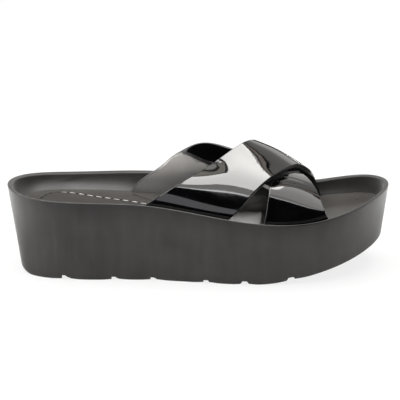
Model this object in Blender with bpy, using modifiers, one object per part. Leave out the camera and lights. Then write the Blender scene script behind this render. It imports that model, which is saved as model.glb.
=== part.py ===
# Platform slide for the right foot: a moulded cup sole, an insole lying in the cup,
# and an upper of two straps that cross over the foot.
# Metres, +Z up, +X to the toe, +Y to the inner side of the foot.
# The origin is on the floor, under the middle of the shoe's box.

from collections import namedtuple

import bmesh
import bpy
import numpy as np

MM = 0.001

# Driving sizes of the sole
LENGTH = 0.265
RIM_WIDTH = 0.0035
RIM_ROUND = 0.0009
WALL_SLOPE = 0.0022
FOOT_BEVEL = 0.0016
TOE_SPRING = 0.0225
SPRING_START = 0.170
SPRING_POWER = 1.65
OUTLINE_POINTS = 88
FINE_POINTS = 2000
TREAD_SHARES = (0.25, 0.5, 0.75)

# Driving sizes of the insole and the straps
GAP = 0.0003
INSOLE_THICKNESS = 0.005
BED_SHARES = (0.25, 0.55, 0.8)
BED_DISH = 3
STRAP_THICKNESS = 0.003
STRAP_ROUND = 0.0011
STRAP_ROUND_SEGMENTS = 2
SHARP_ANGLE = np.radians(60)
RIDGE_AT = 0.35
STRAP_STEPS = 28
STRAP_LANES = 10
SLOT_OVERCUT = 0.002

# Places round the outline of the rim, in millimetres: x from the back of the heel, y from the
# middle line, the height of the rim, the height of the insole's edge, and how far the foot of
# the wall stands inside the rim.
Place = namedtuple("Place", "name x y rim bed draft")
OUTLINE = (
    Place("heel back", 0, 0.5, 59.3, 47.0, 8.0),
    Place("heel outer corner", 11, -25, 58.2, 46.5, 4.5),
    Place("heel outer", 38, -36, 56.8, 45.5, 3.0),
    Place("waist outer", 95, -40, 55.6, 41.5, 5.0),
    Place("joint outer", 165, -50, 46.6, 34.5, 5.5),
    Place("toe outer", 212, -45.5, 45.4, 35.4, 5.0),
    Place("toe outer corner", 245, -30, 52.4, 41.0, 5.0),
    Place("toe tip", 265, 10, 57.5, 45.5, 4.2),
    Place("toe inner corner", 249.5, 38, 53.7, 41.4, 4.6),
    Place("toe inner", 215, 47, 46.8, 36.6, 4.5),
    Place("joint inner", 185, 46.5, 46.2, 36.4, 4.0),
    Place("waist inner", 105, 39, 56.0, 42.5, 3.0),
    Place("heel inner", 45, 36, 56.5, 45.7, 3.0),
    Place("heel inner corner", 11, 26, 57.8, 46.5, 4.5),
)

# Height of the insole along the middle of the foot, in millimetres.
Rise = namedtuple("Rise", "x height")
SPINE = (
    Rise(0, 45.5),
    Rise(40, 44.0),
    Rise(95, 40.5),
    Rise(165, 33.5),
    Rise(208, 33.8),
    Rise(243, 39.5),
    Rise(265, 45.0),
)

# Grooves across the tread, in millimetres: where each crosses, its width and its depth.
# Each one swings to the front and the back across the foot.
Groove = namedtuple("Groove", "x width depth")
GROOVES = (
    Groove(40, 7, 2.4),
    Groove(73, 6, 1.8),
    Groove(101, 6, 1.8),
    Groove(137, 6, 1.8),
    Groove(165, 8, 2.2),
    Groove(197, 7, 2.2),
)
GROOVE_SWING = 0.004
GROOVE_PITCH = 0.036
GROOVE_REACH = 0.120
GROOVE_CUTS = 29

# Sections of the straps above the rim, in millimetres, from the outer side to the inner side:
# the rear edge, the ridge that runs a third of the way across, and the front edge.
Section = namedtuple(
    "Section", "rear_x rear_y rear_z ridge_x ridge_y ridge_z front_x front_y front_z"
)
# Where a strap meets the walls, in millimetres from the back of the heel: the side of the foot
# (-1 is the outer one), from rear to front along its foot under the insole, and along the rim.
Root = namedtuple("Root", "side foot_rear foot_front rim_rear rim_front")
OVER_ROOTS = (Root(-1, 88, 146, 98, 154), Root(1, 182, 220, 180, 217))
OVER_STRAP = (
    Section(119, -31.4, 68.7, 135, -34.0, 66.2, 164, -40.2, 58.8),
    Section(136, -22.4, 76.6, 150, -26.2, 74.6, 175, -32.4, 68.5),
    Section(153.5, -5.6, 84.3, 165.6, -9.2, 80.9, 188, -15.6, 72.4),
    Section(168, 12, 87.2, 179.6, 9.8, 82.6, 201, 5.6, 71.9),
    Section(176, 30.9, 76.6, 188, 30.4, 72.9, 210, 28.9, 61.6),
)
UNDER_ROOTS = (Root(-1, 175, 224, 177, 220), Root(1, 86, 142, 100, 148))
UNDER_STRAP = (
    Section(180, -38.4, 63.2, 193, -38.0, 60.4, 217, -35.8, 54.2),
    Section(180, -31.8, 68.8, 192, -29.2, 67.2, 213, -22.6, 61.6),
    Section(156, -16, 74.6, 172, -9.5, 74.6, 201.5, 4, 67.3),
    Section(132, 3.9, 77.4, 147.4, 11.4, 81.4, 189, 19, 64.5),
    Section(120, 28, 73.8, 134, 26.5, 80.7, 171, 34.4, 59.4),
    Section(110, 34.2, 65.0, 125, 35.2, 66.0, 158, 38.4, 53.9),
)

# Finishes: colour, roughness, metallic value and the weight of a clear coat.
Finish = namedtuple("Finish", "colour roughness metallic coat")
SOLE_FINISH = Finish((0.055, 0.052, 0.052, 1), 0.62, 0, 0)
INSOLE_FINISH = Finish((0.060, 0.058, 0.057, 1), 0.50, 0, 0)
UPPER_FINISH = Finish((0.008, 0.008, 0.009, 1), 0.18, 0, 1)


def through(knots, values, at, closed=False):
    """Points of a cubic spline through the values, natural at its ends or closed on itself."""
    knots, values, at = (np.asarray(a, float) for a in (knots, values, at))
    spans = np.diff(knots)
    count = len(spans) if closed else len(knots)
    system = np.eye(count)
    slopes = np.diff(values, axis=0) / spans[:, None]
    right = np.zeros((count, values.shape[1]))
    for i in range(count) if closed else range(1, count - 1):
        before, after = spans[i - 1], spans[i]
        system[i, i - 1] = before
        system[i, i] = 2 * (before + after)
        system[i, (i + 1) % count] = after
        right[i] = 6 * (slopes[i] - slopes[i - 1])
    bends = np.linalg.solve(system, right)
    if closed:
        bends = np.vstack([bends, bends[:1]])
    piece = np.clip(np.searchsorted(knots, at, side="right") - 1, 0, len(spans) - 1)
    span = spans[piece][:, None]
    left = ((knots[piece + 1] - at) / spans[piece])[:, None]
    back = 1 - left
    straight = left * values[piece] + back * values[piece + 1]
    curve = (left**3 - left) * bends[piece] + (back**3 - back) * bends[piece + 1]
    return straight + curve * span**2 / 6


def round_outline():
    """The rim's outline with the columns of OUTLINE, evenly spaced and in metres."""
    rows = np.array([place[1:] for place in OUTLINE]) * MM
    rows = np.vstack([rows, rows[:1]])
    steps = np.hypot(*np.diff(rows[:, :2], axis=0).T)
    knots = np.concatenate([[0], np.cumsum(steps)])
    fine = through(knots, rows, np.linspace(0, knots[-1], FINE_POINTS), closed=True)
    run = np.concatenate([[0], np.cumsum(np.hypot(*np.diff(fine[:, :2], axis=0).T))])
    even = np.linspace(0, run[-1], OUTLINE_POINTS, endpoint=False)
    ring = np.column_stack([np.interp(even, run, column) for column in fine.T])
    low, high = ring[:, :2].min(axis=0), ring[:, :2].max(axis=0)
    ring[:, :2] -= (low + high) / 2
    ring[:, 0] *= LENGTH / (high[0] - low[0])
    return ring


RING = round_outline()
RIM, BED, DRAFT = RING[:, 2:].T
HEEL = RING[:, 0].min()
WALL_FOOT = RIM_WIDTH + WALL_SLOPE


def inward(inset):
    """The rim's outline moved in by the inset, one value or one for each point."""
    ahead = np.roll(RING[:, :2], -1, axis=0) - np.roll(RING[:, :2], 1, axis=0)
    normal = np.column_stack([-ahead[:, 1], ahead[:, 0]])
    normal /= np.hypot(*normal.T)[:, None]
    return RING[:, :2] + normal * np.broadcast_to(inset, len(RING))[:, None]


def raised(plan, height):
    return np.column_stack([plan, np.broadcast_to(height, len(plan))])


def spring(x):
    """Height of the tread's surface: flat, then rising to the toe."""
    ahead = np.clip((x - HEEL - SPRING_START) / (LENGTH - SPRING_START), 0, None)
    return TOE_SPRING * ahead**SPRING_POWER


def spine(x):
    rows = np.array(SPINE) * MM
    return through(rows[:, 0], rows[:, 1:], np.asarray(x) - HEEL)[:, 0]


def bed_ring(inset, share, drop):
    """A ring of the insole's surface, shrunk to a share of its size and lowered by the drop."""
    edge = inward(inset)
    lift = BED - spine(edge[:, 0])
    plan = edge * share
    return raised(plan, spine(plan[:, 0]) + lift * share**BED_DISH - drop)


def new_object(name, bm):
    bmesh.ops.recalc_face_normals(bm, faces=bm.faces)
    mesh = bpy.data.meshes.new(name)
    bm.to_mesh(mesh)
    bm.free()
    return bpy.data.objects.new(name, mesh)


def ring_solid(name, rings):
    """A closed solid through rings of equal count, each end drawn together to a point."""
    bm = bmesh.new()
    loops = [[bm.verts.new(point) for point in ring] for ring in rings]
    count = len(loops[0])
    for lower, upper in zip(loops, loops[1:]):
        for i in range(count):
            j = (i + 1) % count
            bm.faces.new((lower[i], lower[j], upper[j], upper[i]))
    for loop in (loops[0], loops[-1]):
        middle = bm.verts.new(np.mean([vert.co for vert in loop], axis=0))
        for i in range(count):
            bm.faces.new((loop[i], loop[(i + 1) % count], middle))
    return new_object(name, bm)


def make_groove(groove):
    """A bar under the sole that cuts one swinging groove."""
    bm = bmesh.new()
    bmesh.ops.create_cube(bm, size=1)
    across = [e for e in bm.edges if abs(e.verts[0].co.y - e.verts[1].co.y) > 0.5]
    bmesh.ops.subdivide_edges(bm, edges=across, cuts=GROOVE_CUTS, use_grid_fill=True)
    x = HEEL + groove.x * MM
    top = spring(x) + groove.depth * MM
    for vert in bm.verts:
        y = vert.co.y * GROOVE_REACH
        swing = GROOVE_SWING * np.cos(2 * np.pi * y / GROOVE_PITCH)
        height = top if vert.co.z > 0 else -top
        vert.co = (x + vert.co.x * groove.width * MM + swing, y, height)
    return new_object(f"groove_{groove.x}", bm)


def make_sole():
    foot = inward(DRAFT + FOOT_BEVEL)
    treads = [foot * share for share in TREAD_SHARES]
    rings = [raised(tread, spring(tread[:, 0])) for tread in treads]
    rings.append(raised(foot, spring(foot[:, 0])))
    wall_low = inward(DRAFT)
    rings.append(raised(wall_low, spring(wall_low[:, 0]) + FOOT_BEVEL))
    wall_mid = inward(DRAFT / 2)
    rings.append(raised(wall_mid, (spring(wall_low[:, 0]) + FOOT_BEVEL + RIM) / 2))
    rings.append(raised(inward(0), RIM - RIM_ROUND))
    rings.append(raised(inward(RIM_ROUND), RIM))
    rings.append(raised(inward(RIM_WIDTH - RIM_ROUND), RIM))
    rings.append(raised(inward(RIM_WIDTH), RIM - RIM_ROUND))
    floor = INSOLE_THICKNESS + GAP
    rings.append(bed_ring(WALL_FOOT, 1, 0))
    rings += [bed_ring(WALL_FOOT, share, floor) for share in (1, *reversed(BED_SHARES))]
    return ring_solid("sole", rings)


def make_insole():
    inset = WALL_FOOT + GAP
    rings = [bed_ring(inset, share, INSOLE_THICKNESS) for share in (*BED_SHARES, 1)]
    rings += [bed_ring(inset, share, 0) for share in (1, *reversed(BED_SHARES))]
    return ring_solid("insole", rings)


def wall_lane(side, rear, front, inset, above):
    """Points along the inside of the wall; above runs from the insole (0) to the rim (1)."""
    plan = inward(inset)
    ahead = plan[:, 0] - HEEL
    on_side = np.flatnonzero(RING[:, 1] * side > 0)
    order = on_side[np.argsort(ahead[on_side])]
    x = np.linspace(rear, front, STRAP_LANES + 1) * MM
    height = BED + (RIM - BED) * above
    y, z = (np.interp(x, ahead[order], column[order]) for column in (plan[:, 1], height))
    return np.column_stack([x + HEEL, y, z])


def root_rows(root):
    """Rows of a strap's end, from its foot under the insole's edge up to the rim."""
    edge = wall_lane(root.side, root.foot_rear, root.foot_front, WALL_FOOT + 2 * GAP, 0)
    foot = edge - np.array([0, 0, INSOLE_THICKNESS])
    return [foot, edge, wall_lane(root.side, root.rim_rear, root.rim_front, RIM_WIDTH + 2 * GAP, 1)]


def strap_rows(roots, sections):
    """Rows across a strap, from its outer foot over the foot's back to its inner foot."""
    at = np.linspace(0, 1, STRAP_LANES + 1)
    outer, inner = roots
    rows = root_rows(outer)
    for section in sections:
        points = np.array(section).reshape(3, 3) * MM + np.array([HEEL, 0, 0])
        rows.append(through((0, RIDGE_AT, 1), points, at))
    rows += reversed(root_rows(inner))
    return np.array(rows)


def sheet_object(name, lanes):
    """An open sheet through lanes of equal count."""
    bm = bmesh.new()
    grid = [[bm.verts.new(point) for point in lane] for lane in lanes]
    for near, far in zip(grid, grid[1:]):
        for i in range(len(near) - 1):
            bm.faces.new((near[i], far[i], far[i + 1], near[i + 1]))
    mesh = bpy.data.meshes.new(name)
    bm.to_mesh(mesh)
    bm.free()
    return bpy.data.objects.new(name, mesh)


def add_wall(sheet, outside, inside):
    """Gives a sheet its thickness on both sides."""
    wall = sheet.modifiers.new("wall", "SOLIDIFY")
    wall.thickness = outside + inside
    wall.offset = 2 * outside / wall.thickness - 1
    wall.use_even_offset = True


def make_strap(name, roots, sections):
    rows = strap_rows(roots, sections)
    middle = rows[:, STRAP_LANES // 2]
    knots = np.concatenate([[0], np.cumsum(np.linalg.norm(np.diff(middle, axis=0), axis=1))])
    at = np.linspace(0, knots[-1], STRAP_STEPS + 1)
    lanes = [through(knots, rows[:, lane], at) for lane in range(STRAP_LANES + 1)]
    strap = sheet_object(name, lanes)
    add_wall(strap, 0, STRAP_THICKNESS)
    edge = strap.modifiers.new("rolled edge", "BEVEL")
    edge.width = STRAP_ROUND
    edge.segments = STRAP_ROUND_SEGMENTS
    edge.limit_method = "ANGLE"
    edge.angle_limit = SHARP_ANGLE
    return strap


def make_slot(name, root):
    """A cutter for the slot in the insole's edge that takes one end of a strap."""
    margin = GAP / MM
    rear, front = root.foot_rear - margin, root.foot_front + margin
    edge = wall_lane(root.side, rear, front, WALL_FOOT + 2 * GAP, 0)
    reach = np.array([0, 0, INSOLE_THICKNESS + SLOT_OVERCUT])
    rows = [edge + root.side * reach * level for level in (1, 0, -1)]
    slot = sheet_object(name, np.swapaxes(rows, 0, 1))
    add_wall(slot, SLOT_OVERCUT, STRAP_THICKNESS + GAP)
    return slot


def cut(target, cutter, operation="DIFFERENCE"):
    step = target.modifiers.new(cutter.name, "BOOLEAN")
    step.operation = operation
    step.object = cutter


def give_finish(part, finish):
    material = bpy.data.materials.new(part.name)
    material.use_nodes = True
    shader = material.node_tree.nodes["Principled BSDF"]
    shader.inputs["Base Color"].default_value = finish.colour
    shader.inputs["Roughness"].default_value = finish.roughness
    shader.inputs["Metallic"].default_value = finish.metallic
    shader.inputs["Coat Weight"].default_value = finish.coat
    part.data.materials.append(material)
    part.data.shade_smooth()


def new_collection(name):
    collection = bpy.data.collections.new(name)
    bpy.context.scene.collection.children.link(collection)
    return collection


def main():
    for obj in list(bpy.data.objects):
        bpy.data.objects.remove(obj)
    shoe = new_collection("platform_slide")
    helpers = new_collection("cutters")

    sole, insole = make_sole(), make_insole()
    upper = make_strap("upper", OVER_ROOTS, OVER_STRAP)
    under = make_strap("under_strap", UNDER_ROOTS, UNDER_STRAP)
    grooves = [make_groove(groove) for groove in GROOVES]
    slots = [make_slot(f"slot_{i}", root) for i, root in enumerate((*OVER_ROOTS, *UNDER_ROOTS))]

    origin = bpy.data.objects.new("floor_point", None)
    shoe.objects.link(origin)
    finishes = (SOLE_FINISH, INSOLE_FINISH, UPPER_FINISH)
    for part, finish in zip((sole, insole, upper), finishes):
        shoe.objects.link(part)
        part.parent = origin
        give_finish(part, finish)
    for cutter in (*grooves, *slots, under):
        helpers.objects.link(cutter)
        cutter.hide_render = True
        cutter.display_type = "WIRE"

    for groove in grooves:
        cut(sole, groove)
    for slot in slots:
        cut(insole, slot)
    cut(upper, under, "UNION")


main()
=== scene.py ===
# Looks of a platform slide for the right foot: a moulded cup sole, an insole with a stitched
# heel pad, and two lined patent straps that cross over the foot.
# Metres, +X to the toe, +Y to the inner side of the foot, +Z up.

import math

import bmesh
import bpy
import numpy as np
from mathutils import Matrix, Vector, noise
from mathutils.bvhtree import BVHTree


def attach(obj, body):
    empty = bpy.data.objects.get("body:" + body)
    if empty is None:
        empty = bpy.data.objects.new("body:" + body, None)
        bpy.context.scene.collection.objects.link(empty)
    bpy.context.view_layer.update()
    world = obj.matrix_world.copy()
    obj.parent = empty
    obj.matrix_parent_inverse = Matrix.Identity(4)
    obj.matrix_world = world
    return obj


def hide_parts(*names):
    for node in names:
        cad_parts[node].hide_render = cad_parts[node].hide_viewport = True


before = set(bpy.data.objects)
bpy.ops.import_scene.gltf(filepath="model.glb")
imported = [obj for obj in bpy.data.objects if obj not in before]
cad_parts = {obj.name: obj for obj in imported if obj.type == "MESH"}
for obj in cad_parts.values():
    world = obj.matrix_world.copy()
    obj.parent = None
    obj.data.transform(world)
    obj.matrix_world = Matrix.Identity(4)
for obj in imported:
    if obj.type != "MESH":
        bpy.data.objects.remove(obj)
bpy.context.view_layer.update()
mm = 0.001
print("frame loaded:", ", ".join(sorted(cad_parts)))


# Curves and outlines that the pieces share

def splineThrough(knots, values, at, closed=False):
    # cubic spline, natural at its ends or closed on itself
    knots, values, at = (np.asarray(a, float) for a in (knots, values, at))
    spans = np.diff(knots)
    count = len(spans) if closed else len(knots)
    system = np.eye(count)
    slopes = np.diff(values, axis=0) / spans[:, None]
    right = np.zeros((count, values.shape[1]))
    for i in range(count) if closed else range(1, count - 1):
        before, after = spans[i - 1], spans[i]
        system[i, i - 1] = before
        system[i, i] = 2 * (before + after)
        system[i, (i + 1) % count] = after
        right[i] = 6 * (slopes[i] - slopes[i - 1])
    bends = np.linalg.solve(system, right)
    if closed:
        bends = np.vstack([bends, bends[:1]])
    piece = np.clip(np.searchsorted(knots, at, side="right") - 1, 0, len(spans) - 1)
    span = spans[piece][:, None]
    left = ((knots[piece + 1] - at) / spans[piece])[:, None]
    back = 1 - left
    straight = left * values[piece] + back * values[piece + 1]
    curve = (left**3 - left) * bends[piece] + (back**3 - back) * bends[piece + 1]
    return straight + curve * span**2 / 6


def runLengths(points):
    steps = np.linalg.norm(np.diff(points, axis=0), axis=1)
    return np.concatenate([[0], np.cumsum(steps)])


def evenOutline(places, count):
    # closed outline through the places, in even steps; columns past x and y ride along
    finePoints = 4000
    rows = np.array(places, float) * mm
    rows = np.vstack([rows, rows[:1]])
    knots = runLengths(rows[:, :2])
    fine = splineThrough(knots, rows, np.linspace(0, knots[-1], finePoints), closed=True)
    run = runLengths(fine[:, :2])
    even = np.linspace(0, run[-1], count, endpoint=False)
    return np.column_stack([np.interp(even, run, column) for column in fine.T])


def shrunk(outline, inset):
    # outline moved in by the inset, one value or one for each point
    ahead = np.roll(outline[:, :2], -1, axis=0) - np.roll(outline[:, :2], 1, axis=0)
    normal = np.column_stack([-ahead[:, 1], ahead[:, 0]])
    normal /= np.linalg.norm(normal, axis=1)[:, None]
    return outline[:, :2] + normal * np.broadcast_to(inset, len(outline))[:, None]


def raised(plan, height):
    return np.column_stack([plan, np.broadcast_to(height, len(plan))])


def smoothStep(low, high, value):
    share = np.clip((value - low) / (high - low), 0, 1)
    return share * share * (3 - 2 * share)


# Mesh making

def vertsIn(geom):
    return [item for item in geom if isinstance(item, bmesh.types.BMVert)]


def edgesIn(geom):
    return [item for item in geom if isinstance(item, bmesh.types.BMEdge)]


def loftRings(rings):
    # a circle pulled through every ring by extruding its edges, with both ends filled
    bm = bmesh.new()
    order = bm.verts.layers.int.new("order")
    bmesh.ops.create_circle(bm, segments=len(rings[0]), radius=1)
    for number, vert in enumerate(bm.verts):
        vert[order] = number
        vert.co = rings[0][number]
    firstEdges = bm.edges[:]
    edges = firstEdges
    for ring in rings[1:]:
        grown = bmesh.ops.extrude_edge_only(bm, edges=edges)["geom"]
        for vert in vertsIn(grown):
            vert.co = ring[vert[order]]
        edges = edgesIn(grown)
    for loop in (firstEdges, edges):
        bmesh.ops.contextual_create(bm, geom=loop)
    bmesh.ops.recalc_face_normals(bm, faces=bm.faces)
    bm.verts.layers.int.remove(order)
    return bm


def sheetFrom(points):
    # a grid laid over rows of points
    bm = bmesh.new()
    rows, lanes = points.shape[:2]
    bmesh.ops.create_grid(bm, x_segments=lanes - 1, y_segments=rows - 1, size=1)
    for vert, place in zip(bm.verts, points.reshape(-1, 3)):
        vert.co = place
    return bm


def newObject(name, bm):
    mesh = bpy.data.meshes.new(name)
    bm.to_mesh(mesh)
    bm.free()
    obj = bpy.data.objects.new(name, mesh)
    bpy.context.scene.collection.objects.link(obj)
    return obj


def applyModifiers(obj):
    bpy.context.view_layer.update()
    depsgraph = bpy.context.evaluated_depsgraph_get()
    done = bpy.data.meshes.new_from_object(obj.evaluated_get(depsgraph))
    obj.modifiers.clear()
    raw = obj.data
    obj.data = done
    bpy.data.meshes.remove(raw)
    done.name = obj.name


def useCutter(target, cutter, operation):
    step = target.modifiers.new(cutter.name, "BOOLEAN")
    step.operation = operation
    step.solver = "MANIFOLD"  # the same faces in every run
    step.object = cutter
    applyModifiers(target)
    bpy.data.objects.remove(cutter)


def smoothShade(obj, angle):
    obj.data.shade_smooth()
    obj.data.set_sharp_from_angle(angle=math.radians(angle))


def treeOf(obj):
    # search tree over an object's faces
    bm = bmesh.new()
    bm.from_mesh(obj.data)
    tree = BVHTree.FromBMesh(bm)
    bm.free()
    return tree


def settle(tree, plan):
    # height of the surface under each plan point
    above = 0.2
    down = Vector((0, 0, -1))
    return np.array([tree.ray_cast(Vector((x, y, above)), down)[0].z for x, y in plan])


# Sole

soleShape = {
    "length": 265 * mm,
    "rimWidth": 3.5 * mm,
    "rimRound": 0.4 * mm,
    "rimTilt": 0.8 * mm,  # the rim's top falls to the inside
    "wallSlope": 2.2 * mm,
    "cove": 3.4 * mm,  # more slope inside the heel
    "coveFade": (76 * mm, 98 * mm),
    "footRound": 1.6 * mm,
    "toeSpring": 22.5 * mm,
    "springStart": 170 * mm,
    "springPower": 1.65,
    "heelLift": 2.4 * mm,  # the tread turns up at the back of the heel
    "heelLiftEnd": 17 * mm,
    "heelLiftReach": 8 * mm,
    "heelLiftPower": 1.5,
    "pointsRound": 352,
    "treadShares": (0.25, 0.4, 0.55, 0.7, 0.85),
    "wallShares": (0.06, 0.12, 0.2, 0.3, 0.4, 0.5, 0.6, 0.7, 0.8, 0.9, 0.972),
    "innerWallRings": 12,
    "innerWallPower": 2.5,  # the inner wall slopes most at its foot
    "floorShares": (1, 0.8, 0.55, 0.3),
    "smoothAngle": 32,
    "roundSteps": 4,
    # round the rim in mm: x from the heel, y, rim height, insole height, draft of the wall
    "places": (
        (0, 0.5, 59.3, 47.0, 8.0),  # back of the heel
        (11, -25, 58.2, 46.5, 4.5),
        (38, -36, 56.8, 45.5, 3.0),
        (95, -40, 55.6, 41.5, 5.0),  # outer waist
        (165, -50, 46.6, 34.5, 5.5),  # joint of the small toe
        (212, -45.5, 45.4, 35.4, 5.0),
        (245, -30, 52.4, 41.0, 5.0),
        (265, 10, 57.5, 45.5, 4.2),  # tip of the toe
        (249.5, 38, 53.7, 41.4, 4.6),
        (215, 47, 46.8, 36.6, 4.5),
        (185, 46.5, 46.2, 36.4, 4.0),  # joint of the big toe
        (105, 39, 56.0, 42.5, 3.0),
        (45, 36, 56.5, 45.7, 3.0),
        (11, 26, 57.8, 46.5, 4.5),
    ),
}

ring = evenOutline(soleShape["places"], soleShape["pointsRound"])
ringLow, ringHigh = ring[:, :2].min(axis=0), ring[:, :2].max(axis=0)
ring[:, :2] -= (ringLow + ringHigh) / 2
ring[:, 0] *= soleShape["length"] / (ringHigh[0] - ringLow[0])
rimHeight, bedHeight, draft = ring[:, 2:].T
heelX = ring[:, 0].min()
wallFoot = soleShape["rimWidth"] + soleShape["wallSlope"]
cove = soleShape["cove"] * (1 - smoothStep(*soleShape["coveFade"], ring[:, 0] - heelX))

tread = {
    # across the foot in mm from the heel: x, width, depth
    "grooves": (
        (40, 8, 3.2),
        (73, 7, 2.6),
        (99, 6, 2.4),
        (135, 6, 2.4),
        (163, 9, 2.8),
        (194, 8, 2.8),
    ),
    "slant": 0.35,  # share of a groove's width taken by its sloping front side
    "swing": 4 * mm,
    "pitch": 36 * mm,
    "reach": 120 * mm,
    "cuts": 59,
    "drop": 4 * mm,
    "scallopRise": 0.7 * mm,
    "scallopReach": 6 * mm,
    "sipeWidth": 1.3,  # fine cuts between the grooves, in mm
    "sipeDepth": 1.0,
    "sipeStep": 5.4,
    "sipeClear": 7.5,
    "sipeStart": 14,
    "sipeEnd": 252,
    "sipeBorder": 7 * mm,
}

# shade and light painted on the sole and the insole, as the share of the colour that is left
cupShade = {
    # painted shade deep inside the cup, and painted light where a level is above 1, in mm from the
    # heel: on the wall, and on the far side of the insole
    "wallRuns": (15, 40, 100, 130, 150, 178, 194),
    "wallLevels": (1.0, 1.25, 1.25, 1.0, 0.08, 0.08, 0.5),
    "bedRuns": (140, 152, 180, 192),
    "bedLevels": (1.0, 0.06, 0.06, 1.0),
    "bedSide": (24, 36),
    "insideFrom": 0.25,  # how far a face has to turn inwards to count in full
    "flatFrom": 0.5,
    # painted shade: the outer wall is darker below the rim, in mm down
    "edgeBelow": (2, 6, 14),
    "edgeLevels": (0.72, 0.86, 1.0),
    # a painted shadow line along the rim on the outer side of the toe, and how far down it goes in mm
    # on the rim's top and on the wall
    "rimRuns": (186, 200, 246, 256),
    "rimLevels": (1.0, 0.08, 0.08, 1.0),
    "rimDepth": (2, 1),
    # handling marks outside the cup and a thin dark line inside it: -1 outside or 1 inside the cup,
    # then in mm x from the heel, height, reach along and up, slant, and what is left
    "marks": (
        (-1, 113, 28, 11, 4, 0, 0.84),
        (-1, 55, 48.7, 8, 5, 0, 0.86),
        (-1, 128, 24, 6, 4, 0, 0.9),
        (1, 41, 51.4, 9, 1.2, 0.2, 0.4),
    ),
}


def spots(piece, kind):
    # "co" or "normal" of every vertex
    values = np.empty(3 * len(piece.data.vertices))
    piece.data.vertices.foreach_get(kind, values)
    return values.reshape(-1, 3)


def setShade(piece, values):
    piece.data.attributes.new("shade", "FLOAT", "POINT").data.foreach_set("value", values)


def springHeight(x):
    # turned up at the back of the heel, flat, then rising to the toe
    s = soleShape
    run = x - heelX
    ahead = np.clip((run - s["springStart"]) / (s["length"] - s["springStart"]), 0, None)
    behind = np.clip((s["heelLiftEnd"] - run) / s["heelLiftReach"], 0, None)
    return s["toeSpring"] * ahead ** s["springPower"] + s["heelLift"] * behind ** s["heelLiftPower"]


def swingAt(y):
    return tread["swing"] * np.cos(2 * np.pi * y / tread["pitch"])


def treadHeight(plan):
    # the tread's blocks round off a little towards each groove
    x, y = plan.T
    height = springHeight(x)
    for grooveX, _, _ in tread["grooves"]:
        away = (x - heelX - grooveX * mm - swingAt(y)) / tread["scallopReach"]
        height = height + tread["scallopRise"] * np.exp(-away * away)
    return height


def spineHeight(x):
    # insole along the middle of the foot, in mm: x from the heel, height
    spine = np.array(
        ((0, 45.5), (40, 44.0), (95, 40.5), (165, 33.5), (208, 33.8), (243, 39.5), (265, 45.0))
    )
    spine = spine * mm
    return splineThrough(spine[:, 0], spine[:, 1:], np.asarray(x) - heelX)[:, 0]


def bedRing(inset, share, drop):
    edge = shrunk(ring, inset)
    lift = bedHeight - spineHeight(edge[:, 0])
    plan = edge * share
    return raised(plan, spineHeight(plan[:, 0]) + lift * share ** insoleShape["crown"] - drop)


def addBar(bm, x, width, depth, slant):
    # one swinging bar across the tread, following the toe's rise
    before = len(bm.verts)
    bmesh.ops.create_cube(bm, size=1)
    own = list(bm.verts)[before:]
    edges = dict.fromkeys(e for v in own for e in v.link_edges)
    along = [e for e in edges if abs(e.verts[0].co.y - e.verts[1].co.y) > 0.5]
    bmesh.ops.subdivide_edges(bm, edges=along, cuts=tread["cuts"], use_grid_fill=True)
    for vert in list(bm.verts)[before:]:
        share = vert.co.x
        if share > 0 and vert.co.z > 0:
            share -= slant
        y = vert.co.y * tread["reach"]
        place = heelX + (x + share * width) * mm + swingAt(y)
        level = depth * mm if vert.co.z > 0 else -tread["drop"]
        vert.co = (place, y, springHeight(place) + level)


def makeGrooves():
    bm = bmesh.new()
    for x, width, depth in tread["grooves"]:
        addBar(bm, x, width, depth, tread["slant"])
    bmesh.ops.recalc_face_normals(bm, faces=bm.faces)
    return newObject("grooves", bm)


def makeSipes():
    # fine cuts that stop short of the edge
    bm = bmesh.new()
    grooveXs = [groove[0] for groove in tread["grooves"]]
    for x in np.arange(tread["sipeStart"], tread["sipeEnd"], tread["sipeStep"]):
        if min(abs(x - grooveX) for grooveX in grooveXs) > tread["sipeClear"]:
            addBar(bm, x, tread["sipeWidth"], tread["sipeDepth"], 0)
    bmesh.ops.recalc_face_normals(bm, faces=bm.faces)
    sipes = newObject("sipes", bm)
    plan = shrunk(ring, draft + tread["sipeBorder"])
    low, high = -2 * tread["drop"], soleShape["toeSpring"] + tread["drop"]
    border = newObject("border", loftRings([raised(plan, low), raised(plan, high)]))
    useCutter(sipes, border, "INTERSECT")
    return sipes


def soleRings():
    s = soleShape
    turns = np.linspace(0, np.pi / 2, s["roundSteps"] + 1)
    foot = shrunk(ring, draft + s["footRound"])
    rings = [raised(foot * share, treadHeight(foot * share)) for share in s["treadShares"]]
    for turn in turns:
        plan = shrunk(ring, draft + s["footRound"] * (1 - np.sin(turn)))
        rings.append(raised(plan, treadHeight(plan) + s["footRound"] * (1 - np.cos(turn))))
    low = rings[-1][:, 2]
    high = rimHeight - s["rimRound"]
    for share in s["wallShares"]:
        rings.append(raised(shrunk(ring, draft * (1 - share)), low + (high - low) * share))
    for turn in turns:
        inset = s["rimRound"] * (1 - np.cos(turn))
        rings.append(raised(shrunk(ring, inset), high + s["rimRound"] * np.sin(turn)))
    for turn in turns:
        inset = s["rimWidth"] - s["rimRound"] * (1 - np.sin(turn))
        rings.append(raised(shrunk(ring, inset), high - s["rimTilt"] + s["rimRound"] * np.cos(turn)))
    high = high - s["rimTilt"]
    for share in np.linspace(0, 1, s["innerWallRings"] + 1)[1:]:
        inset = s["rimWidth"] + (s["wallSlope"] + cove) * share ** s["innerWallPower"]
        rings.append(raised(shrunk(ring, inset), high + (bedHeight - high) * share))
    floor = insoleShape["thickness"] + insoleShape["gap"]
    rings += [bedRing(wallFoot + cove, share, floor) for share in s["floorShares"]]
    return rings


def alongSide(side, x):
    # the ring's points on one side of the foot, in the order of their x
    onSide = np.flatnonzero(ring[:, 1] * side > 0)
    return onSide[np.argsort(x[onSide])]


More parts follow.
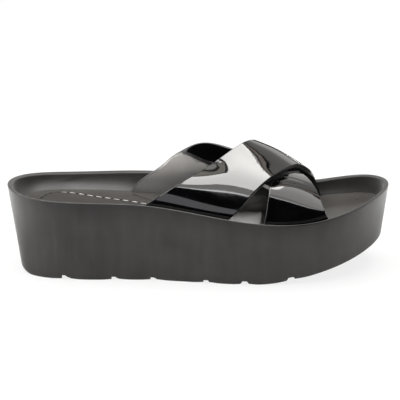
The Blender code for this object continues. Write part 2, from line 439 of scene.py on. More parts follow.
def rimAt(place):
    # height of the rim above or beside each place
    height = np.zeros(len(place))
    for side in (-1, 1):
        here = place[:, 1] * side > 0
        order = alongSide(side, ring[:, 0])
        height[here] = np.interp(place[here, 0], ring[order, 0], rimHeight[order])
    return height


def paintSole(sole):
    # painted shade inside the cup, below the rim and along the toe's rim, painted light on the heel's
    # inner wall, and marks
    s = cupShade
    place, facing = spots(sole, "co"), spots(sole, "normal")
    run, up = (place[:, 0] - heelX) / mm, place[:, 2] / mm
    inward = -(place[:, :2] * facing[:, :2]).sum(axis=1) / np.linalg.norm(place[:, :2], axis=1)
    inside = np.clip(inward / s["insideFrom"], 0, 1)
    flat = facing[:, 2] > s["flatFrom"]
    below = rimAt(place) / mm - up
    shade = 1 - (1 - np.interp(run, s["wallRuns"], s["wallLevels"])) * inside
    edge = np.interp(below, s["edgeBelow"], s["edgeLevels"])
    shade *= np.where((inward < 0) & ~flat, edge, 1)
    nearRim = (flat | (inward < 0)) & (below < np.where(flat, *s["rimDepth"])) & (place[:, 1] < 0)
    shade *= np.where(nearRim, np.interp(run, s["rimRuns"], s["rimLevels"]), 1)
    for side, x, z, along, high, slant, left in s["marks"]:
        away = ((run - x) / along) ** 2 + ((up - z - slant * (run - x)) / high) ** 2
        seen = (inward * side > 0) & (place[:, 1] * side > 0)
        shade *= 1 - (1 - left) * np.exp(-away) * seen
    setShade(sole, shade)


def makeSole():
    sole = newObject("sole_cup", loftRings(soleRings()))
    useCutter(sole, makeGrooves(), "DIFFERENCE")
    useCutter(sole, makeSipes(), "DIFFERENCE")
    smoothShade(sole, soleShape["smoothAngle"])
    paintSole(sole)
    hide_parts("sole")
    return sole


# Insole, with recesses at its edge where the strap ends go down

insoleShape = {
    "thickness": 5 * mm,
    "gap": 0.3 * mm,
    "crown": 2,  # how the cup bends up to its edge
    "lip": 0.3 * mm,
    "lipReach": 3.4 * mm,
    "lipPower": 2.2,
    "recess": 3.7 * mm,
    "recessFade": 2.5 * mm,
    "lipShares": (0, 0.12, 0.26, 0.42, 0.6, 0.8, 1),
    "topShares": np.linspace(1, 0.06, 30)[1:],
    "underShares": (0.1, 0.6, 1),
    "smoothAngle": 50,
}


def recessMask():
    # 1 at the strap ends, 0 elsewhere round the edge
    mask = np.zeros(len(ring))
    run = ring[:, 0] - heelX
    fade = insoleShape["recessFade"]
    for strap in (overStrap, underStrap):
        for side, footRear, footFront, _, _ in strap["roots"]:
            rear, front = footRear * mm, footFront * mm
            inside = smoothStep(rear - fade, rear, run) * (1 - smoothStep(front, front + fade, run))
            mask = np.maximum(mask, np.where(ring[:, 1] * side > 0, inside, 0))
    return mask


def makeInsole():
    s = insoleShape
    mask = recessMask()
    inset = wallFoot + cove + s["gap"] + s["recess"] * mask
    rings = [bedRing(inset, share, s["thickness"]) for share in s["underShares"]]
    lift = bedHeight - spineHeight(shrunk(ring, inset)[:, 0])
    for share in s["lipShares"]:
        plan = shrunk(ring, inset + s["lipReach"] * share)
        reach = np.linalg.norm(plan, axis=1)
        height = spineHeight(plan[:, 0]) + lift * (1 - s["lipReach"] * share / reach) ** s["crown"]
        rings.append(raised(plan, height + s["lip"] * (1 - mask) * (1 - share) ** s["lipPower"]))
    edge = rings[-1][:, :2]
    lift = rings[-1][:, 2] - spineHeight(edge[:, 0])
    for share in s["topShares"]:
        plan = edge * share
        rings.append(raised(plan, spineHeight(plan[:, 0]) + lift * share ** s["crown"]))
    insole = newObject("insole_sock", loftRings(rings))
    smoothShade(insole, s["smoothAngle"])
    # painted shadow on the far side of the insole, under the crossed straps
    place = spots(insole, "co")
    dark = 1 - np.interp((place[:, 0] - heelX) / mm, cupShade["bedRuns"], cupShade["bedLevels"])
    setShade(insole, 1 - dark * np.interp(place[:, 1] / mm, cupShade["bedSide"], (0, 1)))
    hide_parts("insole")
    return insole


# Heel pad with its stitched line

heelPad = {
    "points": 240,
    "thickness": 0.75 * mm,
    "seamInset": 1.5 * mm,
    "seamDepth": 0.55 * mm,
    # painted shade along the seam's groove: what is left of the colour, and how far it reaches
    "seamShade": 0.12,
    "seamShadeReach": 0.9 * mm,
    "crown": 1.2,  # the middle stands higher than the edge
    "crownReach": 1.5 * mm,
    "topShares": np.linspace(1, 0.08, 14)[1:],
    # the edge: mm in, share of the thickness
    "edge": ((0.6, -0.4), (0, 0), (0.05, 0.5), (0.25, 0.87), (0.6, 1)),
    # the seam's groove: mm to each side of the seam, share of its depth
    "groove": ((-0.5, 0), (-0.2, 1), (0.2, 1), (0.5, 0)),
    "smoothAngle": 50,
    "stitchPitch": 6.4 * mm,
    "stitchLength": 4.6 * mm,
    "stitchWidth": 0.8 * mm,
    "stitchLift": 0.56 * mm,
    "stitchShadeTo": (35, 39),  # up to here in mm from the heel the thread is darkened with painted shade
    "stitchShadeLevel": 0.05,
    "stitchSmooth": 80,
    # in mm: x from the heel, y
    "places": (
        (20, 0), (22.5, -11), (28, -20.5), (35, -23.4), (46, -23), (64, -18.6), (80, -15.8),
        (98, -11.4), (107, -6), (110, 0), (107, 5), (98, 9.8), (80, 13.8), (64, 16.8),
        (46, 21.4), (35, 22.2), (28, 19.2), (22.5, 10.5),
    ),
}


def padOutline():
    outline = evenOutline(heelPad["places"], heelPad["points"])
    outline[:, 0] += heelX
    return outline


def makeHeelPad(insoleTree):
    s = heelPad
    outline = padOutline()
    top, seam = s["thickness"], s["seamInset"]
    # inset from the outline and height above the insole
    profile = [(inset * mm, top * share) for inset, share in s["edge"]]
    profile += [(seam + aside * mm, top - s["seamDepth"] * share) for aside, share in s["groove"]]
    profile.append((seam + s["crownReach"], top * s["crown"]))
    rings = []
    for inset, height in profile:
        plan = shrunk(outline, inset)
        rings.append(raised(plan, settle(insoleTree, plan) + height))
    edge = rings[-1][:, :2]
    middle = edge.mean(axis=0)
    for share in s["topShares"]:
        plan = middle + (edge - middle) * share
        rings.append(raised(plan, settle(insoleTree, plan) + top * s["crown"]))
    pad = newObject("heel_pad", loftRings(rings))
    smoothShade(pad, s["smoothAngle"])
    # painted shade along the seam's groove
    line = shrunk(outline, seam)
    away = np.linalg.norm(spots(pad, "co")[:, None, :2] - line, axis=2).min(axis=1)
    setShade(pad, np.where(away < s["seamShadeReach"], s["seamShade"], 1))
    return pad


def makeStitches(padTree):
    s = heelPad
    line = shrunk(padOutline(), s["seamInset"])
    line = np.vstack([line, line[:1]])
    run = runLengths(line)
    count = int(run[-1] / s["stitchPitch"])
    half = s["stitchLength"] / 2
    bm = bmesh.new()
    for middle in (np.arange(count) + 0.5) * run[-1] / count:
        at = np.array([middle - half, middle + half])
        ends = np.column_stack([np.interp(at, run, column) for column in line.T])
        heights = settle(padTree, ends)
        rear, front = (Vector((*end, height + s["stitchLift"])) for end, height in zip(ends, heights))
        way = front - rear
        size = Matrix.Diagonal((s["stitchWidth"] / 2, s["stitchWidth"] / 2, half, 1))
        turn = way.to_track_quat("Z", "Y").to_matrix().to_4x4()
        place = Matrix.Translation((rear + front) / 2) @ turn @ size
        bmesh.ops.create_uvsphere(bm, u_segments=8, v_segments=6, radius=1, matrix=place)
    stitches = newObject("heel_stitches", bm)
    smoothShade(stitches, s["stitchSmooth"])
    # painted shade on the thread round the back of the heel
    ahead = (spots(stitches, "co")[:, 0] - heelX) / mm
    setShade(stitches, np.interp(ahead, s["stitchShadeTo"], (s["stitchShadeLevel"], 1)))
    return stitches


# Straps: patent over foam, with a thin lining inside

strapMake = {
    "thickness": 2.5 * mm,
    "edgeRound": 0.5 * mm,
    "edgeSteps": 4,
    "innerRound": 0.2 * mm,
    "steps": 200,
    "lanes": 72,
    "ridgeAt": 0.35,
    "rest": 0.15 * mm,  # room between the straps where they cross
    "tuckSpread": 650,  # passes that spread the dip under the crossing, then passes that soften it
    "tuckSoften": 22,
    "smoothAngle": 60,
    "edgeDark": 0.025,  # what is left of the edge's colour outside its painted highlight
    "creaseSteps": 60,
    "creaseEnd": 0.02,
    "liningThickness": 0.5 * mm,
    "liningShort": 4,  # steps that the lining stops short of the strap's ends
    "turnedFrom": (0, 0.5),  # how far a face of the lining has to look up to take the painted shade
    "wrap": 0.9,  # share of the rear edge that the lining covers
    "wrapProud": 0.1 * mm,
    "droopReach": 0.42,  # share of the strap's width
    "droopPower": 1.5,
    "droopWay": (0, 0.951, -0.309),
    "waves": 0.05 * mm,
    "waveScale": 22,
}

overStrap = {
    # side of the foot, then mm from the heel: foot rear and front, rim rear and front
    "roots": ((-1, 88, 146, 98, 154), (1, 182, 220, 180, 217)),
    # from the outer to the inner side, in mm: rear edge, ridge and front edge
    "sections": (
        (119, -31.4, 68.7, 135, -34.0, 66.2, 164, -40.2, 58.8),
        (136, -22.4, 76.6, 150, -26.2, 74.6, 175, -32.4, 68.5),
        (153.5, -5.6, 84.3, 165.6, -9.2, 80.9, 188, -15.6, 72.4),
        (168, 12, 87.2, 179.6, 9.8, 82.6, 201, 5.6, 71.9),
        (176, 30.9, 76.6, 188, 30.4, 72.9, 210, 28.9, 61.6),
    ),
    # along and across as shares, from and to, then in mm the width to the outer and to the
    # inner side of the foot, and the depth
    "creases": (
        (0.555, 0.0, 0.42, 1.0, 5, 9, -0.35),
        (0.40, 0.06, 0.385, 0.16, 1.2, 1.2, 0.10),
    ),
    # where the rear edge rolls down on to the other strap: place and reach along it as shares, and
    # the depth in mm
    "droop": (0.348, 0.055, 2.6),
    # the lining's painted shade: heights in mm and what is left there, then the painted shadow under
    # the other strap from and to along the foot in mm
    "shade": {
        "heights": (44, 52, 66),
        "levels": (0.3, 0.5, 1.0),
        "crossing": (168, 178),
        "crossingLevel": 0.04,
        "slant": 0,
        "streaks": 4,
        "streakScale": 220,
        "turnedUpShade": 0.5,
    },
    "wrapFrom": (1.1, 1.2),  # nowhere
    "highlitEdge": (300, 310),  # from here in mm from the heel
}

underStrap = {
    "roots": ((-1, 175, 224, 177, 220), (1, 86, 142, 100, 148)),
    "sections": (
        (180, -38.4, 63.2, 193, -38.0, 60.4, 217, -35.8, 54.2),
        (180, -31.8, 68.8, 192, -29.2, 67.2, 213, -22.6, 61.6),
        (156, -16, 74.6, 172, -9.5, 74.6, 201.5, 4, 67.3),
        (132, 3.9, 77.4, 147.4, 11.4, 81.4, 189, 19, 64.5),
        (120, 28, 73.8, 134, 26.5, 80.7, 171, 34.4, 59.4),
        (110, 34.2, 65.0, 125, 35.2, 66.0, 158, 38.4, 53.9),
    ),
    "creases": (
        (0.288, 0.12, 0.242, 0.90, 1.1, 1.1, 0.12),
        (0.326, 0.44, 0.265, 0.90, 1.1, 1.1, 0.12),
    ),
    # the lining's painted shade, with painted light where a level is above 1
    "shade": {
        "heights": (44, 52, 66),
        "levels": (0.4, 0.55, 1.2),
        "crossing": (129, 140),
        "crossingLevel": 0.03,
        "slant": 2.0,
        "streaks": 6,
        "streakScale": 220,
        "turnedUpShade": 0.65,
    },
    "wrapFrom": (0.59, 0.63),
    "highlitEdge": (160, 176),
}


def wallLane(side, rear, front, inset, above):
    # points along the inside of the wall, from the insole (0) to the rim (1)
    plan = shrunk(ring, inset)
    ahead = plan[:, 0] - heelX
    order = alongSide(side, ahead)
    x = np.linspace(rear, front, strapMake["lanes"] + 1) * mm
    height = bedHeight + (rimHeight - bedHeight) * above
    y, z = (np.interp(x, ahead[order], column[order]) for column in (plan[:, 1], height))
    return np.column_stack([x + heelX, y, z])


def rootRows(root):
    side, footRear, footFront, rimRear, rimFront = root
    gap = insoleShape["gap"]
    edge = wallLane(side, footRear, footFront, wallFoot + 2 * gap, 0)
    foot = edge - np.array([0, 0, insoleShape["thickness"]])
    return [foot, edge, wallLane(side, rimRear, rimFront, soleShape["rimWidth"] + 2 * gap, 1)]


def strapSurface(strap):
    # outer face as rows of points, from the outer foot over to the inner foot
    across = np.linspace(0, 1, strapMake["lanes"] + 1)
    rows = rootRows(strap["roots"][0])
    for section in strap["sections"]:
        points = np.array(section, float).reshape(3, 3) * mm + np.array([heelX, 0, 0])
        rows.append(splineThrough((0, strapMake["ridgeAt"], 1), points, across))
    rows += reversed(rootRows(strap["roots"][1]))
    rows = np.array(rows)
    knots = runLengths(rows[:, strapMake["lanes"] // 2])
    along = np.linspace(0, knots[-1], strapMake["steps"] + 1)
    lanes = [splineThrough(knots, rows[:, lane], along) for lane in range(len(across))]
    return np.stack(lanes, axis=1)


def surfaceNormals(points):
    normals = np.cross(np.gradient(points, axis=1), np.gradient(points, axis=0))
    return normals / np.linalg.norm(normals, axis=2)[:, :, None]


def addWaves(points):
    # the soft unevenness of leather over foam
    scale = strapMake["waveScale"]
    shift = [noise.noise(Vector(point) * scale) for point in points.reshape(-1, 3)]
    shift = np.reshape(shift, points.shape[:2] + (1,)) * strapMake["waves"]
    return points + surfaceNormals(points) * shift


def addCreases(points, creases):
    # soft troughs, or ridges where the depth is negative
    rows, lanes = points.shape[:2]
    steps, end = strapMake["creaseSteps"], strapMake["creaseEnd"]
    shares = np.linspace(0, 1, steps)
    for fromAlong, fromAcross, toAlong, toAcross, outerWidth, innerWidth, depth in creases:
        row = (fromAlong + (toAlong - fromAlong) * shares) * (rows - 1)
        lane = (fromAcross + (toAcross - fromAcross) * shares) * (lanes - 1)
        line = points[np.rint(row).astype(int), np.rint(lane).astype(int)]
        away = np.linalg.norm(points[:, :, None, :] - line, axis=3)
        nearest = away.argmin(axis=2)
        fade = np.sqrt(np.sin(np.pi * np.clip(shares, end, 1 - end)))
        if abs(toAcross - fromAcross) == 1:  # from edge to edge
            fade = np.ones(steps)
        width = np.where(np.arange(rows)[:, None] > row[nearest], innerWidth, outerWidth) * mm
        trough = depth * mm * fade[nearest] * np.exp(-((away.min(axis=2) / width) ** 2))
        points = points - surfaceNormals(points) * trough[:, :, None]
    return points


def blurred(field):
    padded = np.pad(field, 1, mode="edge")
    around = padded[:-2, 1:-1] + padded[2:, 1:-1] + padded[1:-1, :-2] + padded[1:-1, 2:]
    return (field + around) / 5


def tuckUnder(points, cover):
    # lowers a strap softly to where it clears the one that lies on it
    s = strapMake
    room = s["thickness"] + s["liningThickness"] + s["rest"]
    bm = sheetFrom(cover - surfaceNormals(cover) * room)
    tree = BVHTree.FromBMesh(bm)
    bm.free()
    above = Vector((0, 0, 0.05))
    down = Vector((0, 0, -1))
    need = np.zeros(points.shape[:2])
    for place in np.ndindex(need.shape):
        hit = tree.ray_cast(Vector(points[place]) + above, down)[0]
        if hit is not None:
            need[place] = max(0, points[place][2] - hit.z)
    drop = need
    for _ in range(s["tuckSpread"]):
        drop = np.maximum(need, blurred(drop))
    for _ in range(s["tuckSoften"]):
        drop = blurred(drop)
    print("straps cross: greatest dip %.1f mm" % (drop.max() / mm))
    return points - drop[:, :, None] * np.array([0, 0, 1])


def addDroop(points, droop):
    # rolls the rear edge over, softly to both sides along the strap
    middle, reach, depth = droop
    rows, lanes = points.shape[:2]
    along = np.linspace(0, 1, rows)[:, None]
    across = np.linspace(0, 1, lanes)[None, :]
    swell = np.exp(-(((along - middle) / reach) ** 2))
    roll = np.clip(1 - across / strapMake["droopReach"], 0, None) ** strapMake["droopPower"]
    return points + (swell * roll * depth * mm)[:, :, None] * np.array(strapMake["droopWay"])


def addWall(obj, thickness):
    # the sides take the second finish, where there is one
    wall = obj.modifiers.new("wall", "SOLIDIFY")
    wall.thickness = thickness
    wall.offset = -1
    wall.material_offset_rim = 1
    applyModifiers(obj)


def roundEdges(strap, outerCount):
    # a wide roll round the outer face, which holds the first vertices, and a small one inside
    bm = bmesh.new()
    bm.from_mesh(strap.data)
    bm.verts.ensure_lookup_table()
    sharp = [e for e in bm.edges if e.calc_face_angle(0) > math.radians(60)]
    outer = [e for e in sharp if all(v.index < outerCount for v in e.verts)]
    inner = [e for e in sharp if all(v.index >= outerCount for v in e.verts)]
    for edges, width, steps in (
        (outer, strapMake["edgeRound"], strapMake["edgeSteps"]),
        (inner, strapMake["innerRound"], 2),
    ):
        bmesh.ops.bevel(
            bm, geom=edges, offset=width, segments=steps, profile=0.5, affect="EDGES", material=-1,
            clamp_overlap=True,
        )
    bm.to_mesh(strap.data)
    bm.free()


def makeStrap(name, points, finishes, highlitEdge):
    s = strapMake
    strap = newObject(name, sheetFrom(points))
    for finish in finishes:
        strap.data.materials.append(finish)
    addWall(strap, s["thickness"])
    roundEdges(strap, points.shape[0] * points.shape[1])
    smoothShade(strap, s["smoothAngle"])
    # painted highlight on the edge along a part of the foot, black elsewhere
    ahead = (spots(strap, "co")[:, 0] - heelX) / mm
    setShade(strap, np.interp(ahead, highlitEdge, (s["edgeDark"], 1)))
    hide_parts("upper")
    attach(strap, "root")


def makeLining(name, points, shade, wrapFrom):
    s = strapMake
    inner = points - surfaceNormals(points) * s["thickness"]
    out = points[:, 0] - points[:, 1]
    out /= np.linalg.norm(out, axis=1)[:, None]
    corner = inner[:, 0] + out * s["wrapProud"]
    # turned over the rear edge along a part of the strap
    share = s["wrap"] * smoothStep(*wrapFrom, np.linspace(0, 1, len(points)))
    wrap = corner + (points[:, 0] - inner[:, 0]) * share[:, None]
    inner = np.concatenate([wrap[:, None], corner[:, None], inner[:, 1:]], axis=1)
    sheet = sheetFrom(inner[s["liningShort"]:-s["liningShort"]])
    bmesh.ops.remove_doubles(sheet, verts=sheet.verts, dist=s["rest"] / 5)
    lining = newObject(name, sheet)
    addWall(lining, s["liningThickness"])
    smoothShade(lining, s["smoothAngle"])
    paintShade(lining, shade)
    return lining


def paintShade(lining, shade):
    # painted shade: darker towards the foot, on faces that look up, and where the strap runs in under
    # the other one; a level above 1 paints light
    heights, levels, crossing = shade["heights"], shade["levels"], shade["crossing"]
    layer = lining.data.attributes.new("shade", "FLOAT", "POINT")
    for vert, value in zip(lining.data.vertices, layer.data):
        level = np.interp(vert.co.z / mm, heights, levels)
        run = (vert.co.x - heelX) / mm + shade["streaks"] * noise.noise(vert.co * shade["streakScale"])
        run += shade["slant"] * (vert.co.z / mm - heights[-1])
        turned = 1 - shade["turnedUpShade"] * smoothStep(*strapMake["turnedFrom"], vert.normal.z)
        value.value = level * turned * np.interp(run, crossing, (1, shade["crossingLevel"]))


# Finishes

def addNode(tree, kind, inputs=None, **settings):
    made = tree.nodes.new(kind)
    for name, value in settings.items():
        setattr(made, name, value)
    for name, value in (inputs or {}).items():
        socket = made.inputs[name]
        if isinstance(value, bpy.types.NodeSocket):
            tree.links.new(value, socket)
        else:
            socket.default_value = value
    return made


def newGroup(name, inputs, outputs):
    group = bpy.data.node_groups.new(name, "ShaderNodeTree")
    for label, kind in inputs.items():
        group.interface.new_socket(label, in_out="INPUT", socket_type=kind)
    for label, kind in outputs.items():
        group.interface.new_socket(label, in_out="OUTPUT", socket_type=kind)
    return group, group.nodes.new("NodeGroupInput").outputs, group.nodes.new("NodeGroupOutput").inputs


vectorSocket, floatSocket = "NodeSocketVector", "NodeSocketFloat"


def makeGrainGroup():
    # small pebbled height for leather and moulded skins
    group, given, out = newGroup(
        "fineGrain",
        {"Coordinates": vectorSocket, "Scale": floatSocket, "Pebble": floatSocket},
        {"Height": floatSocket},
    )
    fine = addNode(
        group, "ShaderNodeTexNoise",
        {"Vector": given["Coordinates"], "Scale": given["Scale"], "Detail": 3.0, "Roughness": 0.6},
    )
    cells = addNode(
        group, "ShaderNodeTexVoronoi",
        {"Vector": given["Coordinates"], "Scale": given["Scale"], "Smoothness": 0.6},
        feature="SMOOTH_F1",
    )
    mixed = addNode(
        group, "ShaderNodeMix",
        {"Factor": given["Pebble"], "A": fine.outputs["Fac"], "B": cells.outputs["Distance"]},
    )
    group.links.new(mixed.outputs["Result"], out["Height"])
    return group


def makePatchGroup():
    # slow change over the surface between two values
    group, given, out = newGroup(
        "softPatches",
        {"Coordinates": vectorSocket, "Scale": floatSocket, "Low": floatSocket, "High": floatSocket},
        {"Value": floatSocket},
    )
    cloud = addNode(
        group, "ShaderNodeTexNoise",
        {"Vector": given["Coordinates"], "Scale": given["Scale"], "Detail": 4.0, "Roughness": 0.55},
    )
    spread = addNode(
        group, "ShaderNodeMapRange",
        {"Value": cloud.outputs["Fac"], "From Min": 0.3, "From Max": 0.7,
         "To Min": given["Low"], "To Max": given["High"]},
    )
    group.links.new(spread.outputs["Result"], out["Value"])
    return group


grainGroup = makeGrainGroup()
patchGroup = makePatchGroup()


def placeGroup(tree, group, inputs):
    return addNode(tree, "ShaderNodeGroup", inputs, node_tree=group)


def newFinish(name, look):
    # Principled shader with patchy colour and roughness and a fine grain
    material = bpy.data.materials.new(name)
    material.use_nodes = True
    tree = material.node_tree
    shader = tree.nodes["Principled BSDF"]
    for socket, value in look["shader"].items():
        shader.inputs[socket].default_value = value
    where = addNode(tree, "ShaderNodeTexCoord").outputs["Object"]
    patches = placeGroup(
        tree, patchGroup, {"Coordinates": where, "Scale": look["patchScale"], "Low": 0.0, "High": 1.0}
    )
    colour = addNode(tree, "ShaderNodeMix", {"Factor": patches.outputs["Value"]}, data_type="RGBA")
    for socket in colour.inputs:
        if socket.type == "RGBA" and socket.name in ("A", "B"):
            socket.default_value = (*look["dark" if socket.name == "A" else "light"], 1)
    result = next(socket for socket in colour.outputs if socket.type == "RGBA")
    # the shade attribute multiplies the colour: painted shade, or painted light where it is above 1
    if look.get("shaded"):
        shade = addNode(tree, "ShaderNodeAttribute", attribute_name="shade").outputs["Fac"]
        result = addNode(
            tree, "ShaderNodeVectorMath", {0: result, 1: shade}, operation="MULTIPLY"
        ).outputs["Vector"]
    if "streaks" in look:
        # long marks down the wall
        stretched = addNode(
            tree, "ShaderNodeVectorMath", {0: where, 1: look["streakStretch"]}, operation="MULTIPLY"
        )
        low, high = look["streaks"]
        streaks = placeGroup(
            tree, patchGroup,
            {"Coordinates": stretched.outputs["Vector"], "Scale": look["streakScale"],
             "Low": low, "High": high},
        )
        result = addNode(
            tree, "ShaderNodeVectorMath", {0: result, 1: streaks.outputs["Value"]}, operation="MULTIPLY"
        ).outputs["Vector"]
    tree.links.new(result, shader.inputs["Base Color"])
    low, high = look["roughness"]
    smear = placeGroup(
        tree, patchGroup, {"Coordinates": where, "Scale": look["smearScale"], "Low": low, "High": high}
    )
    tree.links.new(smear.outputs["Value"], shader.inputs["Roughness"])
    grain = placeGroup(
        tree, grainGroup,
        {"Coordinates": where, "Scale": look["grainScale"], "Pebble": look["pebble"]},
    )
    bump = addNode(
        tree, "ShaderNodeBump",
        {"Strength": 1.0, "Distance": look["grainHeight"], "Height": grain.outputs["Height"]},
    )
    tree.links.new(bump.outputs["Normal"], shader.inputs["Normal"])
    return material


soleFinish = {
    "shader": {"Specular IOR Level": 0.5, "Sheen Weight": 0.35, "Sheen Roughness": 0.35},
    "shaded": True,
    "dark": (0.0275, 0.0260, 0.0254),
    "light": (0.0335, 0.0318, 0.0310),
    "patchScale": 40,
    "streakStretch": (1, 1, 0.12),
    "streakScale": 170,
    "streaks": (0.9, 1.1),
    "roughness": (0.48, 0.58),
    "smearScale": 60,
    "grainScale": 1500,
    "pebble": 0.3,
    "grainHeight": 0.00005,
}
insoleFinish = {
    "shader": {"Specular IOR Level": 0.5},
    "shaded": True,
    "dark": (0.047, 0.0435, 0.0400),
    "light": (0.058, 0.0540, 0.0500),
    "patchScale": 50,
    "roughness": (0.27, 0.34),
    "smearScale": 68,
    "grainScale": 1150,
    "pebble": 0.7,
    "grainHeight": 0.00008,
}
threadFinish = {
    "shader": {"Specular IOR Level": 0.5, "Sheen Weight": 0.3},
    "shaded": True,
    "dark": (0.50, 0.49, 0.47),
    "light": (0.62, 0.61, 0.59),
    "patchScale": 300,
    "roughness": (0.35, 0.45),
    "smearScale": 400,
    "grainScale": 4000,
    "pebble": 0.2,
    "grainHeight": 0.00006,
}
patentFinish = {
    "shader": {"Specular IOR Level": 0.5, "Coat Weight": 1.0, "Coat Roughness": 0.02, "Coat IOR": 1.5},
    "dark": (0.0006, 0.0006, 0.0007),
    "light": (0.0014, 0.0014, 0.0016),
    "patchScale": 60,
    "roughness": (0.05, 0.12),
    "smearScale": 90,
    "grainScale": 420,
    "pebble": 0.0,
    "grainHeight": 0.000012,
}
# grey only where the edge's painted highlight is; elsewhere the shade attribute leaves it nearly black
edgeAndHighlightFinish = {
    "shader": {"Specular IOR Level": 0.4},
    "shaded": True,
    "dark": (0.12, 0.118, 0.114),
    "light": (0.16, 0.157, 0.152),
    "patchScale": 120,
    "roughness": (0.28, 0.42),
    "smearScale": 150,
    "grainScale": 1800,
    "pebble": 0.2,
    "grainHeight": 0.00003,
}
liningFinish = {
    "shader": {"Specular IOR Level": 0.3},
    "shaded": True,
    "dark": (0.43, 0.415, 0.398),
    "light": (0.49, 0.475, 0.455),
    "patchScale": 60,
    "roughness": (0.42, 0.52),
    "smearScale": 90,
    "grainScale": 1600,
    "pebble": 0.6,
    "grainHeight": 0.00006,
}


# Floor, light and camera

stage = {
    "floorSize": 6.0,
    "floorColour": (0.82, 0.82, 0.82),
    "floorRoughness": 0.9,
    "fadeStart": 0.35,
    "fadeEnd": 1.2,
    "fadeNear": 0.8,
    "seenWorld": (1.0, 1.0, 1.0),
    "fillWorld": (0.40, 0.40, 0.40),
    "mirroredWorld": (0.0, 0.0, 0.0),
}


def makeFloor():
    bm = bmesh.new()
    bmesh.ops.create_grid(bm, x_segments=1, y_segments=1, size=stage["floorSize"] / 2)
    floor = newObject("floor", bm)
    material = bpy.data.materials.new("floorPaper")
    material.use_nodes = True
    shader = material.node_tree.nodes["Principled BSDF"]
    shader.inputs["Base Color"].default_value = (*stage["floorColour"], 1)
    shader.inputs["Roughness"].default_value = stage["floorRoughness"]
    shader.inputs["Specular IOR Level"].default_value = 0.0
    fadeFloor(material.node_tree, shader)
    floor.data.materials.append(material)
    floor.visible_glossy = False


def fadeFloor(tree, shader):
    # a pale floor with a faint shadow, which turns into the white behind the shoe
    where = addNode(tree, "ShaderNodeTexCoord").outputs["Object"]
    away = addNode(tree, "ShaderNodeVectorMath", {0: where}, operation="LENGTH")
    share = addNode(
        tree, "ShaderNodeMapRange",
        {"Value": away.outputs["Value"], "From Min": stage["fadeStart"], "From Max": stage["fadeEnd"],
         "To Min": stage["fadeNear"]},
        interpolation_type="SMOOTHSTEP",
    )
    seen = addNode(tree, "ShaderNodeLightPath").outputs["Is Camera Ray"]
    factor = addNode(
        tree, "ShaderNodeMath", {0: share.outputs["Result"], 1: seen}, operation="MULTIPLY"
    )
    white = addNode(tree, "ShaderNodeEmission", {"Color": (*stage["seenWorld"], 1)})
    mixed = addNode(
        tree, "ShaderNodeMixShader",
        {0: factor.outputs["Value"], 1: shader.outputs["BSDF"], 2: white.outputs["Emission"]},
    )
    tree.links.new(mixed.outputs["Shader"], tree.nodes["Material Output"].inputs["Surface"])


def makeWorld():
    # white to the camera, a fill to matt surfaces, dark in the patent's mirror
    world = bpy.data.worlds.new("studio")
    world.use_nodes = True
    tree = world.node_tree
    fill = tree.nodes["Background"]
    fill.inputs["Color"].default_value = (*stage["fillWorld"], 1)
    rays = addNode(tree, "ShaderNodeLightPath").outputs
    last = fill.outputs["Background"]
    for look, ray in (("mirroredWorld", "Is Glossy Ray"), ("seenWorld", "Is Camera Ray")):
        other = addNode(tree, "ShaderNodeBackground", {"Color": (*stage[look], 1)})
        mixed = addNode(
            tree, "ShaderNodeMixShader", {0: rays[ray], 1: last, 2: other.outputs["Background"]}
        )
        last = mixed.outputs["Shader"]
    tree.links.new(last, tree.nodes["World Output"].inputs["Surface"])
    bpy.context.scene.world = world


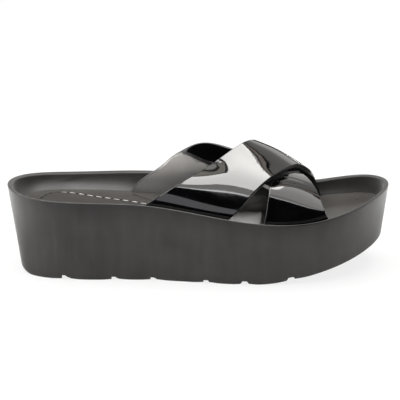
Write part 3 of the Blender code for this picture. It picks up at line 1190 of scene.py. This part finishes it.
# name, middle, way it faces, width, height, brightness of its face, colour, and what it lights:
# the patent's mirror, matt surfaces, both, or the insole alone
softboxes = (
    ("through", (0.24, 1.58, 0.58), (0, -1, 0), 0.16, 0.32, 13.0, (1, 0.97, 0.94), "insole"),
    ("overheadNear", (-0.230, -0.166, 1.0), (0, 0, -1), 1.040, 0.748, 7.0, (1, 0.99, 0.965), "mirror"),
    ("overheadFar", (0.1725, 0.422, 1.0), (0, 0, -1), 0.345, 0.428, 7.0, (1, 0.99, 0.965), "mirror"),
    ("toeNear", (0.5025, -0.166, 1.0), (0, 0, -1), 0.425, 0.748, 2.2, (1, 0.975, 0.94), "mirror"),
    ("toeFar", (0.530, 0.422, 1.0), (0, 0, -1), 0.370, 0.428, 2.2, (1, 0.975, 0.94), "mirror"),
    ("overheadMatt", (-0.15, 0.22, 1.1), (0, 0, -1), 1.40, 1.176, 4.2, (1, 0.99, 0.97), "matt"),
    ("heelCard", (-0.072, 0.440, 1.0), (0, 0, -1), 0.069, 0.390, 1.3, (1, 0.94, 0.84), "mirror"),
    ("overheadHeel", (-0.443, 0.449, 1.0), (0, 0, -1), 0.614, 0.374, 1.5, (1, 0.99, 0.96), "mirror"),
    ("overheadFront", (0.00, -0.660, 1.0), (0, 0, -1), 1.50, 0.20, 1.7, (1, 0.99, 0.95), "both"),
    ("lip", (0.00, -0.782, 1.0), (0, 0, -1), 1.50, 0.034, 7.0, (1, 1, 1), "both"),
    ("brownCard", (0.80, 1.20, 1.575), (0, -1, 0), 1.40, 0.20, 0.9, (1, 0.86, 0.77), "both"),
    ("behindHigh", (1.05, 1.20, 1.069), (0, -1, 0), 1.50, 0.602, 0.5, (1, 0.98, 0.95), "both"),
    ("behindLow", (1.05, 1.20, 0.534), (0, -1, 0), 1.50, 0.468, 0.85, (1, 0.98, 0.95), "both"),
    ("behindFoot", (1.05, 1.20, 0.15), (0, -1, 0), 1.50, 0.30, 0.35, (1, 0.98, 0.95), "both"),
    ("backdrop", (-0.60, 1.60, 0.30), (0, -1, 0), 1.70, 0.60, 0.5, (1, 1, 1), "both"),
    ("front", (-0.61, -1.60, 0.55), (0, 1, 0), 1.38, 0.80, 0.9, (0.98, 0.96, 1), "both"),
    ("lowFront", (-0.45, -1.30, 0.04), (0.40, 1.30, 0), 1.20, 0.08, 30.0, (1, 1, 1), "matt"),
    ("heelFill", (-1.25, -1.00, 0.06), (1.25, 1.0, 0), 0.80, 0.12, 12.0, (1, 1, 1), "matt"),
    ("toeFill", (0.95, -1.25, 0.05), (-0.95, 1.25, 0), 0.70, 0.10, 36.0, (1, 1, 1), "matt"),
    ("toeSide", (1.30, 0.10, 0.06), (-1, 0, 0), 0.70, 0.12, 75.0, (1, 1, 1), "matt"),
    ("heelSide", (-1.30, 0.10, 0.06), (1, 0, 0), 0.70, 0.12, 60.0, (1, 1, 1), "matt"),
    ("floorToe", (0.80, 0.45, 0.004), (0, 0, 1), 1.20, 1.20, 3.4, (1, 1, 1), "mirror"),
    ("floorHeel", (-0.80, 0.45, 0.004), (0, 0, 1), 1.20, 1.20, 3.4, (1, 1, 1), "mirror"),
)


def makeLights(insole):
    for name, place, facing, width, height, brightness, colour, use in softboxes:
        light = bpy.data.lights.new(name, "AREA")
        light.shape = "RECTANGLE"
        light.size = width
        light.size_y = height
        light.energy = brightness * math.pi * width * height
        light.color = colour
        lamp = bpy.data.objects.new(name, light)
        lamp.location = place
        lamp.rotation_euler = Vector(facing).to_track_quat("-Z", "Y").to_euler()
        lamp.visible_camera = False
        lamp.visible_glossy = use != "matt"
        lamp.visible_diffuse = use != "mirror"
        if use == "insole":
            lit = bpy.data.collections.new(name + "Lit")
            lit.objects.link(insole)
            lamp.light_linking.receiver_collection = lit
        bpy.context.scene.collection.objects.link(lamp)


cameraPlace = {
    "elevation": 18,
    "distance": 1.3,
    "lens": 168.2,
    "sensor": 36,
    "target": (0.00104, 0.00064, 0.04698),
}


def makeCamera():
    rise = math.radians(cameraPlace["elevation"])
    back = Vector((0, -math.cos(rise), math.sin(rise)))
    data = bpy.data.cameras.new("camera")
    data.lens = cameraPlace["lens"]
    data.sensor_width = cameraPlace["sensor"]
    camera = bpy.data.objects.new("camera", data)
    camera.location = Vector(cameraPlace["target"]) + back * cameraPlace["distance"]
    camera.rotation_euler = (-back).to_track_quat("-Z", "Y").to_euler()
    bpy.context.scene.collection.objects.link(camera)
    bpy.context.scene.camera = camera


def wear(piece, material):
    # replaces whatever finish the mesh brought along
    piece.data.materials.clear()
    piece.data.materials.append(material)
    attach(piece, "root")


rubber = newFinish("moulded_rubber", soleFinish)
sock = newFinish("satin_sock", insoleFinish)
thread = newFinish("pale_thread", threadFinish)
patent = newFinish("black_patent", patentFinish)
edgePaintAndHighlight = newFinish("edge_paint_and_highlight", edgeAndHighlightFinish)
satin = newFinish("satin_lining", liningFinish)

wear(makeSole(), rubber)
print("sole made")
insole = makeInsole()
wear(insole, sock)
pad = makeHeelPad(treeOf(insole))
wear(pad, sock)
wear(makeStitches(treeOf(pad)), thread)
print("insole, heel pad and stitches made")

overPoints = addDroop(strapSurface(overStrap), overStrap["droop"])
overPoints = addCreases(addWaves(overPoints), overStrap["creases"])
underPoints = addCreases(addWaves(strapSurface(underStrap)), underStrap["creases"])
underPoints = tuckUnder(underPoints, overPoints)
for name, points, strap in (("over", overPoints, overStrap), ("under", underPoints, underStrap)):
    makeStrap("strap_" + name, points, (patent, edgePaintAndHighlight), strap["highlitEdge"])
    wear(makeLining("lining_" + name, points, strap["shade"], strap["wrapFrom"]), satin)
print("straps made")

makeFloor()
makeWorld()
makeLights(insole)
makeCamera()
bpy.context.scene.view_settings.view_transform = "Standard"
print("studio made")
